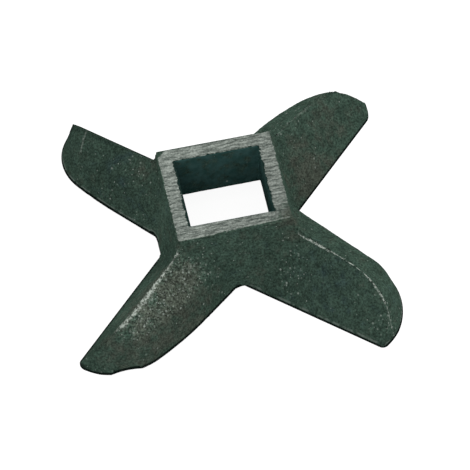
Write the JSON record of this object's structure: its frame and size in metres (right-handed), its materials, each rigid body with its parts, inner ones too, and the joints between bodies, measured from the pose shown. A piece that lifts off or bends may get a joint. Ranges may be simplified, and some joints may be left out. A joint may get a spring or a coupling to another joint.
{
  "type": "meat grinder blade",
  "caption": "Cast iron cross knife of a meat grinder: a square hub with a square drive hole and ridged blades with rounded ends, cutting flat against the plate.",
  "frame": {"origin": "on the axis of the square drive hole, at the plane of the cutting edges", "axes": "+Z along the drive hole, out of the hub's ground top face; +X and +Y square to the hub's sides, with the blades on its diagonals"},
  "size_m": [0.0772, 0.0778, 0.0181],
  "materials": {
    "cast_iron": "rough as cast, dark grey-green; the hub's top face is ground bright"
  },
  "bodies": {
    "root": {"cross_knife": "cast_iron"}
  },
  "joints": []
}
